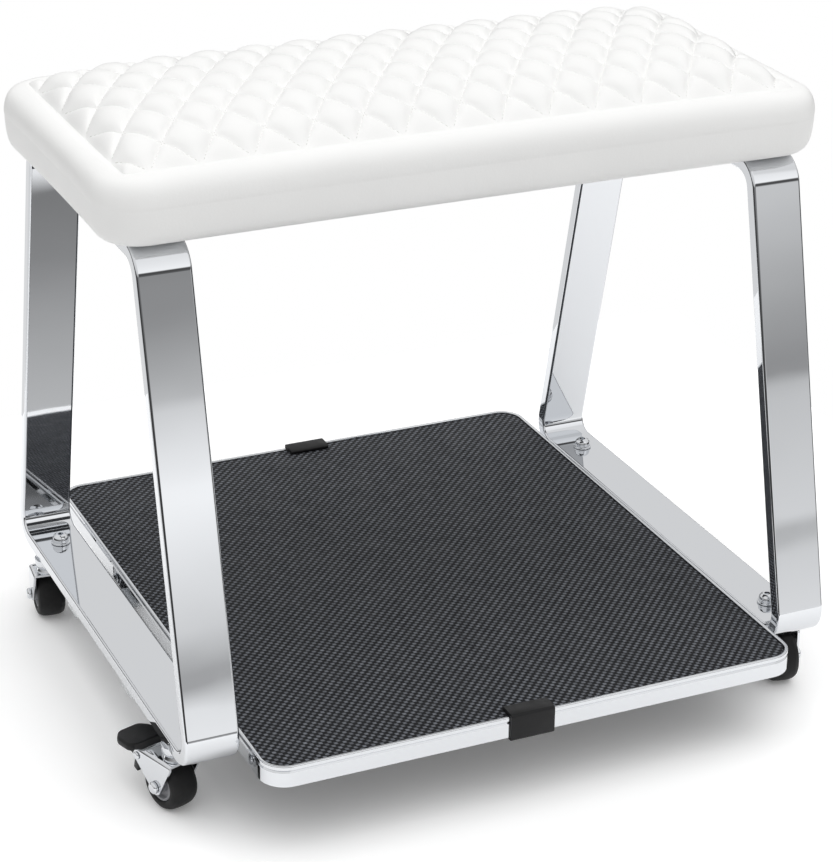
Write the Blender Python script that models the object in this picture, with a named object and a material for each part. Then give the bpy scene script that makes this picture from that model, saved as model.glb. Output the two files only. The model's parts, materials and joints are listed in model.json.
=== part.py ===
"""Pedicure footrest: a quilted seat on two bent-bar side frames with a matted tray between them.

X runs along the cushion, -Y is the front, +Z is up, and the floor is z = 0. Lengths are in metres.
"""
import math

import bmesh
import bpy
from mathutils import Matrix, Vector

# Clearance between pieces that touch, and round shanks in their holes
GAP = 0.0003

# Side frames, bent from flat bar
BAR_WIDTH = 0.045
BAR_THICK = 0.012
BAR_EDGE = 0.0012
BEND_RADIUS = 0.026
FRAME_SET_IN = 0.025
FRAME_FOOT = 0.2355
FRAME_HEAD = 0.1410
FRAME_HEIGHT = 0.408

# Tray between the bottom bars
TRAY_SIDE_GAP = 0.0065
TRAY_DEPTH = 0.546
TRAY_CORNER = 0.022
RIM_HEIGHT = 0.0185
RIM_THICK = 0.003
PANEL_THICK = 0.012
MAT_THICK = 0.0047
CLIP_X = -0.011
CLIP_WIDTH = 0.039
CLIP_THICK = 0.0026
CLIP_REACH = 0.012
CLIP_HOOK = 0.005
CLIP_PINCH = 0.001

# Cross straps under the tray
STRAP_WIDTH = 0.030
STRAP_THICK = 0.004
STRAP_Y = 0.075

# Seat
CUSHION_LENGTH = 0.628
CUSHION_DEPTH = 0.301
CUSHION_CORNER = 0.040
CUSHION_EDGE = 0.0565
CUSHION_CROWN = 0.018
CUSHION_DRAW_IN = 0.002
BORDER = 0.024
QUILT_ALONG = 14
QUILT_ACROSS = 4
QUILT_PUFF = 0.007
BOARD_END_MARGIN = 0.022
BOARD_SIDE_MARGIN = 0.0305
BOARD_THICK = 0.012
BOARD_CORNER = 0.010

# Rings down the cushion's side: shares of the border's width, of the edge's height and of the draw-in
SIDE_PROFILE = [
    (0.58, 1.05, 0.0),
    (0.17, 0.87, 0.5),
    (0.0, 0.58, 1.0),
    (0.2, 0.16, 1.0),
    (0.7, 0.0, 1.0),
]

# Screws
SEAT_SCREW_Y = 0.070
TRAY_SCREW_X = 0.150
BIG_SCREW_RADIUS = 0.003
BIG_SCREW_HEAD = 0.0052
SMALL_SCREW_RADIUS = 0.002
SMALL_SCREW_HEAD = 0.004
SCREW_BITE = 0.0085

# Casters
CASTER_HEIGHT = 0.0615
CASTER_Y = 0.175
CASTER_OUT = 0.0125
WHEEL_RADIUS = 0.0225
TYRE_WIDTH = 0.025
HUB_RADIUS = 0.0135
HUB_WIDTH = 0.023
AXLE_RADIUS = 0.003
AXLE_HEAD_RADIUS = 0.0052
AXLE_HEAD = 0.0036
FORK_PLATE = 0.0022
FORK_CLEAR = 0.0015
BRIDGE_CLEAR = 0.0025
FORK_HEAD = 0.012
FORK_BOSS = 0.0028
LUG_RADIUS = 0.007
TRAIL = 0.008
CUP_RADIUS = 0.012
MOUNT_PLATE = 0.0025
MOUNT_BOSS_RADIUS = 0.008
MOUNT_BOSS = 0.0040
KINGPIN_RADIUS = 0.003
KINGPIN_HEAD_RADIUS = 0.0045
KINGPIN_HEAD = 0.0014
BOLT_RADIUS = 0.004
BOLT_HEAD_RADIUS = 0.0073
BOLT_HEAD = 0.0072
BOLT_FLANGE_RADIUS = 0.0085
BOLT_FLANGE = 0.0014

# Brake pedals on two casters, across a diagonal: the pivot is measured from the wheel's centre
BRAKED = ("front_left", "back_right")
PIVOT_OUT = 0.023
PIVOT_UP = 0.019
PIVOT_LUG = 0.005
PIN_RADIUS = 0.002
PIN_HEAD_RADIUS = 0.0034
PIN_HEAD = 0.0016
PEDAL_LENGTH = 0.034
PEDAL_WIDTH = 0.034
PEDAL_THICK = 0.007
PEDAL_FOOT = -0.0015
SHOE_DEPTH = 0.005
PEDAL_TRAVEL = 15.0

# The sides of each corner, and the heading in degrees that its caster has come to rest at
CORNERS = {
    "front_left": (-1, -1, 108.0),
    "front_right": (1, -1, 260.0),
    "back_left": (-1, 1, 84.0),
    "back_right": (1, 1, 98.0),
}

# Heights and places that follow from the sizes above: the frames stand in from the cushion's ends
FRAME_HALF_SPAN = CUSHION_LENGTH / 2 - FRAME_SET_IN
BAR_X = FRAME_HALF_SPAN - BAR_WIDTH / 2
BAR_TOP = CASTER_HEIGHT + BAR_THICK
FRAME_TOP = CASTER_HEIGHT + FRAME_HEIGHT
TRAY_HALF_WIDTH = FRAME_HALF_SPAN - BAR_WIDTH - TRAY_SIDE_GAP
MAT_FOOT = PANEL_THICK + GAP
MAT_TOP = MAT_FOOT + MAT_THICK
STRAP_FOOT = CASTER_HEIGHT - GAP - STRAP_THICK
SEAT_Z = FRAME_TOP + GAP
BOARD_LENGTH = CUSHION_LENGTH - 2 * BOARD_END_MARGIN
BOARD_DEPTH = CUSHION_DEPTH - 2 * BOARD_SIDE_MARGIN
FORK_INSIDE = TYRE_WIDTH / 2 + FORK_CLEAR
FORK_OUTSIDE = FORK_INSIDE + FORK_PLATE
BRIDGE_FOOT = 2 * WHEEL_RADIUS + BRIDGE_CLEAR
BRIDGE_TOP = BRIDGE_FOOT + FORK_PLATE
FORK_TOP = BRIDGE_TOP + FORK_BOSS
MOUNT_TOP = CASTER_HEIGHT - GAP
MOUNT_FOOT = MOUNT_TOP - MOUNT_PLATE
PIVOT_X = TRAIL + PIVOT_OUT
PIVOT_Z = WHEEL_RADIUS + PIVOT_UP

for leftover in list(bpy.data.objects):
    bpy.data.objects.remove(leftover)


def make_material(name, colour, roughness, metallic=0.0):
    """A Principled material of one colour."""
    material = bpy.data.materials.new(name)
    material.use_nodes = True
    shader = material.node_tree.nodes["Principled BSDF"]
    shader.inputs["Base Color"].default_value = (*colour, 1.0)
    shader.inputs["Roughness"].default_value = roughness
    shader.inputs["Metallic"].default_value = metallic
    return material


LEATHERETTE = make_material("white_leatherette", (0.88, 0.88, 0.88), 0.45)
PLYWOOD = make_material("plywood", (0.62, 0.45, 0.28), 0.7)
CHROME = make_material("chrome", (0.80, 0.80, 0.82), 0.06, 1.0)
STEEL = make_material("plated_steel", (0.68, 0.68, 0.70), 0.25, 1.0)
MAT_RUBBER = make_material("mat_rubber", (0.045, 0.047, 0.052), 0.75)
BLACK_PLASTIC = make_material("black_plastic", (0.015, 0.015, 0.016), 0.5)
GREY_PLASTIC = make_material("grey_plastic", (0.25, 0.25, 0.26), 0.5)
TYRE_RUBBER = make_material("tyre_rubber", (0.012, 0.012, 0.013), 0.6)


def make_mesh(bm, name, material):
    """A shaded mesh of one material."""
    bmesh.ops.recalc_face_normals(bm, faces=bm.faces)
    mesh = bpy.data.meshes.new(name)
    bm.to_mesh(mesh)
    bm.free()
    mesh.materials.append(material)
    mesh.shade_smooth()
    mesh.set_sharp_from_angle(angle=math.radians(35))
    return mesh


def place(name, data, location, parent=None):
    """An object set down at the location, in its parent's frame when it has one."""
    thing = bpy.data.objects.new(name, data)
    thing.location = location
    thing.parent = parent
    bpy.context.scene.collection.objects.link(thing)
    return thing


def turned(profile, steps, closed=False):
    """Spin a profile of (radius, height) points about Z. An open profile starts and ends on the axis."""
    bm = bmesh.new()
    points = [bm.verts.new((radius, 0.0, height)) for radius, height in profile]
    pairs = list(zip(points, points[1:]))
    if closed:
        pairs.append((points[-1], points[0]))
    edges = [bm.edges.new(pair) for pair in pairs]
    bmesh.ops.spin(bm, geom=points + edges, cent=(0, 0, 0), axis=(0, 0, 1), angle=math.tau, steps=steps)
    bmesh.ops.remove_doubles(bm, verts=bm.verts, dist=0.00001)
    bmesh.ops.recalc_face_normals(bm, faces=bm.faces)
    return bm


def cylinder(radius, low, high, steps=16):
    """A plain cylinder about Z."""
    return turned([(0.0, high), (radius, high), (radius, low), (0.0, low)], steps)


def draw_out(bm, vector):
    """Extrude the flat faces in bm along the vector into a closed solid."""
    grown = bmesh.ops.extrude_face_region(bm, geom=bm.faces[:])
    far = [item for item in grown["geom"] if isinstance(item, bmesh.types.BMVert)]
    bmesh.ops.translate(bm, verts=far, vec=vector)
    bmesh.ops.recalc_face_normals(bm, faces=bm.faces)
    return bm


def flat_face(points):
    """One face through points in space."""
    bm = bmesh.new()
    bm.faces.new([bm.verts.new(point) for point in points])
    bm.normal_update()
    return bm


def upright_prism(outline, low, high):
    """An outline in X and Y drawn up from low to high."""
    return draw_out(flat_face([(x, y, low) for x, y in outline]), (0.0, 0.0, high - low))


def side_prism(outline, half_width):
    """An outline in X and Z drawn along Y, as far to each side."""
    return draw_out(flat_face([(x, -half_width, z) for x, z in outline]), (0.0, 2 * half_width, 0.0))


def cross_prism(outline, half_width):
    """An outline in Y and Z drawn along X, as far to each side."""
    return draw_out(flat_face([(-half_width, y, z) for y, z in outline]), (2 * half_width, 0.0, 0.0))


def hollow(bm, wall):
    """Leave only a margin of the wall's thickness round the one face in bm."""
    middle = bm.faces[:]
    bmesh.ops.inset_region(bm, faces=middle, thickness=wall, use_even_offset=True, use_boundary=True)
    bmesh.ops.delete(bm, geom=middle, context="FACES_ONLY")
    return bm


def at(bm, x, y, z=0.0):
    """bm moved to a place."""
    bmesh.ops.translate(bm, verts=bm.verts, vec=(x, y, z))
    return bm


def across(bm):
    """A solid about Z laid along Y."""
    bmesh.ops.rotate(bm, verts=bm.verts, cent=(0, 0, 0), matrix=Matrix.Rotation(-math.pi / 2, 3, "X"))
    return bm


def shaped(base, *steps):
    """base after Boolean steps, each an operation and the solid it uses."""
    helpers = []
    for bm in [base] + [solid for _, solid in steps]:
        mesh = bpy.data.meshes.new("shape")
        bm.to_mesh(mesh)
        bm.free()
        helpers.append(place("shape", mesh, (0.0, 0.0, 0.0)))
    target = helpers[0]
    for (operation, _), helper in zip(steps, helpers[1:]):
        boolean = target.modifiers.new(operation, "BOOLEAN")
        boolean.operation = operation
        boolean.solver = "EXACT"
        boolean.object = helper
    bpy.context.view_layer.update()
    result = bmesh.new()
    result.from_object(target, bpy.context.evaluated_depsgraph_get())
    for helper in helpers:
        mesh = helper.data
        bpy.data.objects.remove(helper)
        bpy.data.meshes.remove(mesh)
    return result


def drilled(base, *drills):
    """base with holes cut by the drills."""
    return shaped(base, *[("DIFFERENCE", drill) for drill in drills])


def arc(centre, radius, start, end, steps):
    """Points on an arc, with the angles in degrees."""
    points = []
    for step in range(steps + 1):
        angle = math.radians(start + (end - start) * step / steps)
        points.append((centre[0] + radius * math.cos(angle), centre[1] + radius * math.sin(angle)))
    return points


def rounded_outline(half_x, half_y, radius, steps):
    """A rectangle with rounded corners, anticlockwise."""
    x, y = half_x - radius, half_y - radius
    points = []
    for turn, corner in enumerate([(x, y), (-x, y), (-x, -y), (x, -y)]):
        points += arc(corner, radius, 90 * turn, 90 * turn + 90, steps)
    return points


def screw_mesh(name, radius, head_radius, length):
    """A screw that points up from the underside it is driven against, with a domed head below that."""
    head = head_radius * 0.62
    profile = [
        (0.0, length), (radius * 0.8, length), (radius, length - radius * 0.4), (radius, 0.0),
        (head_radius, 0.0), (head_radius, -head * 0.45), (head_radius * 0.62, -head), (0.0, -head),
    ]
    return make_mesh(turned(profile, 10), name, STEEL)


# Side frames: the same bent bar stands on both sides

def frame_outline():
    """The outer face of a side frame in Y and Z, from the underside of its foot, with its four bends."""
    corners = [
        (-FRAME_FOOT, 0.0), (FRAME_FOOT, 0.0), (FRAME_HEAD, FRAME_HEIGHT), (-FRAME_HEAD, FRAME_HEIGHT),
    ]
    lean = math.degrees(math.atan2(FRAME_FOOT - FRAME_HEAD, FRAME_HEIGHT))
    facing = [180 - lean, 270, 360 + lean, 450, 540 - lean]
    points = []
    for (y, z), start, end in zip(corners, facing, facing[1:]):
        inward = math.radians((start + end) / 2 + 180)
        reach = BEND_RADIUS / math.cos(math.radians((end - start) / 2))
        centre = (y + reach * math.cos(inward), z + reach * math.sin(inward))
        points += arc(centre, BEND_RADIUS, start, end, 6)
    return points


def frame_solid():
    """Flat bar bent round the outline, its long edges broken, drilled for casters, seat and straps."""
    bm = flat_face([(-BAR_WIDTH / 2, y, z) for y, z in frame_outline()])
    draw_out(hollow(bm, BAR_THICK), (BAR_WIDTH, 0.0, 0.0))
    edges = [edge for edge in bm.edges if edge.calc_face_angle() > math.radians(60)]
    bmesh.ops.bevel(bm, geom=edges, offset=BAR_EDGE, segments=1, profile=0.5, affect="EDGES")
    big = BIG_SCREW_RADIUS + GAP
    drills = []
    for side in (-1, 1):
        drills.append(at(cylinder(BOLT_RADIUS + GAP, -BAR_THICK, 2 * BAR_THICK), 0.0, side * CASTER_Y))
        drills.append(at(cylinder(big, -BAR_THICK, SCREW_BITE + GAP), 0.0, side * STRAP_Y))
        seat_hole = cylinder(big, FRAME_HEIGHT - 2 * BAR_THICK, FRAME_HEIGHT + BAR_THICK)
        drills.append(at(seat_hole, 0.0, side * SEAT_SCREW_Y))
    return drilled(bm, *drills)


frame_mesh = make_mesh(frame_solid(), "side_frame", CHROME)
place("left_side_frame", frame_mesh, (-BAR_X, 0.0, CASTER_HEIGHT))
place("right_side_frame", frame_mesh, (BAR_X, 0.0, CASTER_HEIGHT))


# Tray: its pieces are measured from the underside of the rim

tray = place("tray", None, (0.0, 0.0, CASTER_HEIGHT))


def tray_outline(inset):
    """The tray's plan outline, drawn in by the inset."""
    return rounded_outline(TRAY_HALF_WIDTH - inset, TRAY_DEPTH / 2 - inset, TRAY_CORNER - inset, 6)


def rim_solid():
    """The rim strip, standing on edge round the panel."""
    bm = flat_face([(x, y, 0.0) for x, y in tray_outline(0.0)])
    return draw_out(hollow(bm, RIM_THICK), (0.0, 0.0, RIM_HEIGHT))


def panel_solid():
    """The panel inside the rim, with pilot holes from below."""
    panel = upright_prism(tray_outline(RIM_THICK + GAP), 0.0, PANEL_THICK)
    pilots = []
    for side_x, side_y, _ in CORNERS.values():
        pilot = cylinder(SMALL_SCREW_RADIUS + GAP, -PANEL_THICK, SCREW_BITE + GAP, 12)
        pilots.append(at(pilot, side_x * TRAY_SCREW_X, side_y * STRAP_Y))
    return drilled(panel, *pilots)


def mat_solid():
    """The mat, with a dent under the tongue of each clip."""
    half_width = CLIP_WIDTH / 2 + GAP
    reach = RIM_THICK + CLIP_REACH + 2 * GAP
    dents = []
    for side in (-1, 1):
        left, right = -side * CLIP_X - half_width, -side * CLIP_X + half_width
        edge = side * TRAY_DEPTH / 2
        inner = edge - side * reach
        outline = [(left, edge), (right, edge), (right, inner), (left, inner)]
        dents.append(upright_prism(outline, MAT_TOP - CLIP_PINCH, MAT_TOP + CLIP_THICK))
    return drilled(upright_prism(tray_outline(RIM_THICK + GAP), MAT_FOOT, MAT_TOP), *dents)


def clip_solid():
    """A clip hooked over the rim and the mat: Y runs inwards from the rim's outer face."""
    edge = RIM_THICK + GAP
    tongue = MAT_TOP - CLIP_PINCH + GAP
    outside = -GAP - CLIP_THICK
    top = RIM_HEIGHT + GAP + CLIP_THICK
    return cross_prism([
        (outside, -GAP - CLIP_THICK), (edge + CLIP_HOOK, -GAP - CLIP_THICK), (edge + CLIP_HOOK, -GAP),
        (-GAP, -GAP), (-GAP, RIM_HEIGHT + GAP), (edge, RIM_HEIGHT + GAP), (edge, tongue),
        (edge + CLIP_REACH, tongue), (edge + CLIP_REACH, top - CLIP_THICK / 2),
        (edge + CLIP_REACH - CLIP_THICK, top), (outside + CLIP_THICK / 2, top),
        (outside, top - CLIP_THICK / 2),
    ], CLIP_WIDTH / 2)


place("tray_rim", make_mesh(rim_solid(), "tray_rim", CHROME), (0.0, 0.0, 0.0), tray)
place("tray_panel", make_mesh(panel_solid(), "tray_panel", PLYWOOD), (0.0, 0.0, 0.0), tray)
place("tray_mat", make_mesh(mat_solid(), "tray_mat", MAT_RUBBER), (0.0, 0.0, 0.0), tray)
clip_mesh = make_mesh(clip_solid(), "mat_clip", BLACK_PLASTIC)
place("front_mat_clip", clip_mesh, (CLIP_X, -TRAY_DEPTH / 2, 0.0), tray)
place("back_mat_clip", clip_mesh, (-CLIP_X, TRAY_DEPTH / 2, 0.0), tray).rotation_euler.z = math.pi


# Cross straps and the screws through them

def strap_solid():
    """A flat strap across both frames, drilled for its screws."""
    half_length = FRAME_HALF_SPAN - BAR_EDGE
    outline = rounded_outline(half_length, STRAP_WIDTH / 2, STRAP_THICK, 2)
    drills = []
    for side in (-1, 1):
        big = cylinder(BIG_SCREW_RADIUS + GAP, -STRAP_THICK, 2 * STRAP_THICK)
        drills.append(at(big, side * BAR_X, 0.0))
        small = cylinder(SMALL_SCREW_RADIUS + GAP, -STRAP_THICK, 2 * STRAP_THICK, 12)
        drills.append(at(small, side * TRAY_SCREW_X, 0.0))
    return drilled(upright_prism(outline, 0.0, STRAP_THICK), *drills)


strap_mesh = make_mesh(strap_solid(), "cross_strap", STEEL)
place("front_cross_strap", strap_mesh, (0.0, -STRAP_Y, STRAP_FOOT))
place("back_cross_strap", strap_mesh, (0.0, STRAP_Y, STRAP_FOOT))

under_strap = STRAP_FOOT - GAP
strap_grip = CASTER_HEIGHT + SCREW_BITE - under_strap
strap_screw = screw_mesh("strap_screw", BIG_SCREW_RADIUS, BIG_SCREW_HEAD, strap_grip)
tray_screw = screw_mesh("tray_screw", SMALL_SCREW_RADIUS, SMALL_SCREW_HEAD, strap_grip)
for corner, (side_x, side_y, _) in CORNERS.items():
    place(f"{corner}_strap_screw", strap_screw, (side_x * BAR_X, side_y * STRAP_Y, under_strap))
    place(f"{corner}_tray_screw", tray_screw, (side_x * TRAY_SCREW_X, side_y * STRAP_Y, under_strap))


# Seat: board, screws and the upholstered cushion, measured from the board's underside

seat = place("seat", None, (0.0, 0.0, SEAT_Z))


def board_solid():
    """The board under the upholstery, with pilot holes from below."""
    outline = rounded_outline(BOARD_LENGTH / 2, BOARD_DEPTH / 2, BOARD_CORNER, 4)
    pilots = []
    for side_x, side_y, _ in CORNERS.values():
        pilot = cylinder(BIG_SCREW_RADIUS + GAP, -BOARD_THICK, SCREW_BITE + GAP)
        pilots.append(at(pilot, side_x * BAR_X, side_y * SEAT_SCREW_Y))
    return drilled(upright_prism(outline, 0.0, BOARD_THICK), *pilots)


place("seat_board", make_mesh(board_solid(), "seat_board", PLYWOOD), (0.0, 0.0, 0.0), seat)
below_bar = -GAP - BAR_THICK - GAP
seat_screw = screw_mesh("seat_screw", BIG_SCREW_RADIUS, BIG_SCREW_HEAD, SCREW_BITE - below_bar)
for corner, (side_x, side_y, _) in CORNERS.items():
    place(f"{corner}_seat_screw", seat_screw, (side_x * BAR_X, side_y * SEAT_SCREW_Y, below_bar), seat)

# The quilted field is a grid of half-diamonds, with a smooth border round it
CELLS_X = 2 * QUILT_ALONG
CELLS_Y = 2 * QUILT_ACROSS
FIELD_X = CUSHION_LENGTH / 2 - BORDER
FIELD_Y = CUSHION_DEPTH / 2 - BORDER


def quilt_height(x, y):
    """Height of the quilted top: the edge, the crown over it, and a puff in each diamond."""
    u = abs(x) / FIELD_X
    v = abs(y) / FIELD_Y
    crown = CUSHION_CROWN * (1.0 - u ** 6) * (1.0 - v ** 4)
    along = x / FIELD_X * QUILT_ALONG
    over = y / FIELD_Y * QUILT_ACROSS
    diamond = abs(math.cos(math.pi * (along + over) / 2) * math.cos(math.pi * (along - over) / 2))
    fade = max(0.0, min(1.0, (1.0 - u) * QUILT_ALONG, (1.0 - v) * QUILT_ACROSS))
    return CUSHION_EDGE + crown + QUILT_PUFF * diamond ** 0.6 * fade


def ring_outline(half_x, half_y, radius):
    """As many points round a rounded rectangle as round the quilted field, four spans to a corner."""
    points = []
    sides = [(half_x, half_y, CELLS_X), (half_y, half_x, CELLS_Y)] * 2
    for turn, (along, out, cells) in enumerate(sides):
        straight = along - radius
        for step in range(cells):
            bend = min(step - 2, 0) + max(step - cells + 2, 0)
            share = min(max((step - 2) / (cells - 4), 0.0), 1.0)
            angle = math.radians(22.5 * bend)
            x = straight * (2 * share - 1) + radius * math.sin(angle)
            y = radius - out - radius * math.cos(angle)
            points.append(Matrix.Rotation(turn * math.pi / 2, 2) @ Vector((x, y)))
    return points


def quilted_top(bm):
    """The field of diamonds, creased along its stitch lines. Returns the points round its edge."""
    verts = bmesh.ops.create_grid(bm, x_segments=CELLS_X, y_segments=CELLS_Y, size=1.0)["verts"]
    bmesh.ops.scale(bm, vec=(FIELD_X, FIELD_Y, 1.0), verts=verts)
    lattice = [verts[row * (CELLS_X + 1):(row + 1) * (CELLS_X + 1)] for row in range(CELLS_Y + 1)]
    for row in range(CELLS_Y):
        for column in range(CELLS_X):
            lean = (row + column) % 2
            stitch = [lattice[row][column + 1 - lean], lattice[row + 1][column + lean]]
            bmesh.ops.connect_verts(bm, verts=stitch)
    bmesh.ops.poke(bm, faces=bm.faces[:])
    for vert in bm.verts:
        vert.co.z = quilt_height(vert.co.x, vert.co.y)
    front, back = lattice[0], lattice[-1]
    left = [line[0] for line in lattice]
    right = [line[-1] for line in lattice]
    return front[:-1] + right[:-1] + back[:0:-1] + left[:0:-1]


def side_ring(bm, border_share, height_share, draw_share):
    """A ring of the cushion's side, its straight sides drawn in at their middles."""
    inset = BORDER * border_share
    half_x = CUSHION_LENGTH / 2 - inset
    half_y = CUSHION_DEPTH / 2 - inset
    draw_in = CUSHION_DRAW_IN * draw_share
    ring = []
    for x, y in ring_outline(half_x, half_y, CUSHION_CORNER - inset):
        x_drawn = x * (1.0 - draw_in / half_x * (1.0 - (y / half_y) ** 2))
        y_drawn = y * (1.0 - draw_in / half_y * (1.0 - (x / half_x) ** 2))
        ring.append(bm.verts.new((x_drawn, y_drawn, CUSHION_EDGE * height_share)))
    return ring


def cushion_solid():
    """Quilted top, rolled border, sides drawn in, and a pocket below for the board."""
    bm = bmesh.new()
    rings = [quilted_top(bm)]
    rings += [side_ring(bm, *shares) for shares in SIDE_PROFILE]
    pocket = ring_outline(BOARD_LENGTH / 2 + GAP, BOARD_DEPTH / 2 + GAP, BOARD_CORNER)
    for height in (0.0, BOARD_THICK + GAP):
        rings.append([bm.verts.new((x, y, height)) for x, y in pocket])
    for ring, after in zip(rings, rings[1:]):
        for index in range(len(ring)):
            follow = (index + 1) % len(ring)
            bm.faces.new((ring[index], ring[follow], after[follow], after[index]))
    bm.faces.new(rings[-1])
    return bm


place("seat_cushion", make_mesh(cushion_solid(), "seat_cushion", LEATHERETTE), (0.0, 0.0, 0.0), seat)


# Casters: local X runs from the swivel axis towards the wheel, local Y along the axle, local Z up

def bolt_solid():
    """Flanged socket bolt down through the bar into the mount's boss."""
    flange_foot = BAR_TOP + GAP
    shoulder = flange_foot + BOLT_FLANGE
    top = shoulder + BOLT_HEAD
    tip = MOUNT_FOOT - MOUNT_BOSS
    body = turned([
        (0.0, top), (BOLT_HEAD_RADIUS * 0.6, top), (BOLT_HEAD_RADIUS * 0.9, top - BOLT_HEAD * 0.2),
        (BOLT_HEAD_RADIUS, top - BOLT_HEAD * 0.55), (BOLT_HEAD_RADIUS, shoulder),
        (BOLT_FLANGE_RADIUS, shoulder), (BOLT_FLANGE_RADIUS, flange_foot),
        (BOLT_RADIUS, flange_foot), (BOLT_RADIUS, tip), (0.0, tip),
    ], 16)
    return drilled(body, cylinder(BOLT_HEAD_RADIUS * 0.4, top - BOLT_HEAD / 2, top + BOLT_HEAD, 6))


def mount_solid():
    """Mount under the bar: a plate with the swivel cup, and a boss for its bolt inboard, towards -X."""
    outline = arc((0.0, 0.0), CUP_RADIUS + GAP, -90, 90, 8)
    outline += arc((-CASTER_OUT, 0.0), MOUNT_BOSS_RADIUS + GAP, 90, 270, 8)
    plate = upright_prism(outline, MOUNT_FOOT, MOUNT_TOP)
    inside = MOUNT_FOOT + MOUNT_PLATE / 2
    cup_foot = FORK_TOP + GAP
    cup = turned([
        (0.0, inside), (CUP_RADIUS, inside), (CUP_RADIUS, (cup_foot + MOUNT_FOOT) / 2),
        (CUP_RADIUS * 0.88, cup_foot), (0.0, cup_foot),
    ], 20)
    boss = at(cylinder(MOUNT_BOSS_RADIUS, MOUNT_FOOT - MOUNT_BOSS, inside), -CASTER_OUT, 0.0)
    head_seat = MOUNT_TOP - GAP - KINGPIN_HEAD - GAP
    pin_hole = cylinder(KINGPIN_RADIUS + GAP, 0.0, 2 * MOUNT_TOP)
    pin_sink = cylinder(KINGPIN_HEAD_RADIUS + GAP, head_seat, 2 * MOUNT_TOP)
    bolt_hole = at(cylinder(BOLT_RADIUS + GAP, 0.0, 2 * MOUNT_TOP), -CASTER_OUT, 0.0)
    steps = [("UNION", cup), ("UNION", boss)]
    steps += [("DIFFERENCE", hole) for hole in (pin_hole, pin_sink, bolt_hole)]
    return shaped(plate, *steps)


def kingpin_solid():
    """Kingpin the fork swivels on, with a flush head in the mount and a rivet head under the bridge."""
    top = MOUNT_TOP - GAP
    rivet_top = BRIDGE_FOOT - GAP
    return turned([
        (0.0, top), (KINGPIN_HEAD_RADIUS, top), (KINGPIN_HEAD_RADIUS, top - KINGPIN_HEAD),
        (KINGPIN_RADIUS, top - KINGPIN_HEAD), (KINGPIN_RADIUS, rivet_top),
        (KINGPIN_HEAD_RADIUS, rivet_top), (KINGPIN_HEAD_RADIUS * 0.8, rivet_top - KINGPIN_HEAD),
        (0.0, rivet_top - KINGPIN_HEAD),
    ], 16)


def fork_outline(braked):
    """Side view of a fork plate in local X and Z. A brake needs an arm out to the pedal's pivot."""
    top = BRIDGE_TOP + FORK_PLATE
    shoulder = BRIDGE_FOOT - FORK_PLATE
    points = [(FORK_HEAD, top), (-FORK_HEAD, top), (-FORK_HEAD, shoulder)]
    points += arc((TRAIL, WHEEL_RADIUS), LUG_RADIUS, 195, 345, 6)
    if braked:
        points += arc((PIVOT_X, PIVOT_Z), PIVOT_LUG, -75, 90, 6)
    else:
        points.append((FORK_HEAD + FORK_PLATE, shoulder))
    return points


def fork_solid(braked):
    """Stamped fork: two plates and a rounded bridge with the swivel boss on it."""
    low = WHEEL_RADIUS - 2 * LUG_RADIUS
    half = FORK_OUTSIDE
    soft = FORK_PLATE * 1.5
    bend = arc((half - soft, BRIDGE_TOP - soft), soft, 0, 90, 3)
    channel = [(half, low)] + bend + [(-y, z) for y, z in reversed(bend)] + [(-half, low)]
    channel += [(-FORK_INSIDE, low), (-FORK_INSIDE, BRIDGE_FOOT)]
    channel += [(FORK_INSIDE, BRIDGE_FOOT), (FORK_INSIDE, low)]
    body = cross_prism(channel, PIVOT_X + 2 * PIVOT_LUG)
    boss_foot = BRIDGE_FOOT + FORK_PLATE / 2
    boss = turned([
        (0.0, FORK_TOP), (CUP_RADIUS * 0.85, FORK_TOP), (CUP_RADIUS * 0.93, BRIDGE_TOP),
        (CUP_RADIUS * 0.93, boss_foot), (0.0, boss_foot),
    ], 20)
    pin_hole = cylinder(KINGPIN_RADIUS + GAP, BRIDGE_FOOT - FORK_PLATE, FORK_TOP + FORK_PLATE)
    axle_hole = at(across(cylinder(AXLE_RADIUS + GAP, -2 * half, 2 * half)), TRAIL, 0.0, WHEEL_RADIUS)
    steps = [("INTERSECT", side_prism(fork_outline(braked), 2 * half)), ("UNION", boss)]
    steps += [("DIFFERENCE", pin_hole), ("DIFFERENCE", axle_hole)]
    if braked:
        pivot_hole = across(cylinder(PIN_RADIUS + GAP, -2 * half, 2 * half, 12))
        steps.append(("DIFFERENCE", at(pivot_hole, PIVOT_X, 0.0, PIVOT_Z)))
    return shaped(body, *steps)


def headed_pin(radius, head_radius, head, steps):
    """A pin through both fork plates, with a head outside each."""
    outside = FORK_OUTSIDE + GAP
    half = [
        (0.0, outside + head), (head_radius * 0.65, outside + head), (head_radius, outside + head * 0.6),
        (head_radius, outside), (radius, outside),
    ]
    return across(turned(half + [(r, -y) for r, y in reversed(half)], steps))


def hub_solid():
    """Moulded hub with a raised boss that keeps it centred between the plates."""
    rim = HUB_WIDTH / 2
    web = rim * 0.7
    boss_radius = AXLE_RADIUS * 2
    half = [
        (AXLE_RADIUS + GAP, FORK_INSIDE - GAP), (boss_radius, FORK_INSIDE - GAP), (boss_radius, web),
        (HUB_RADIUS * 0.82, web), (HUB_RADIUS * 0.85, rim), (HUB_RADIUS, rim),
    ]
    return across(turned(half + [(r, -y) for r, y in reversed(half)], 16, closed=True))


def tyre_solid():
    """Rubber tyre with a rounded tread."""
    half_width = TYRE_WIDTH / 2
    round_radius = half_width * 0.65
    tread = arc((half_width - round_radius, WHEEL_RADIUS - round_radius), round_radius, 0, 90, 3)
    half = [(HUB_RADIUS + GAP, half_width * 0.92)] + [(r, y) for y, r in tread]
    return across(turned(half + [(r, -y) for r, y in reversed(half)], 24, closed=True))


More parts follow.
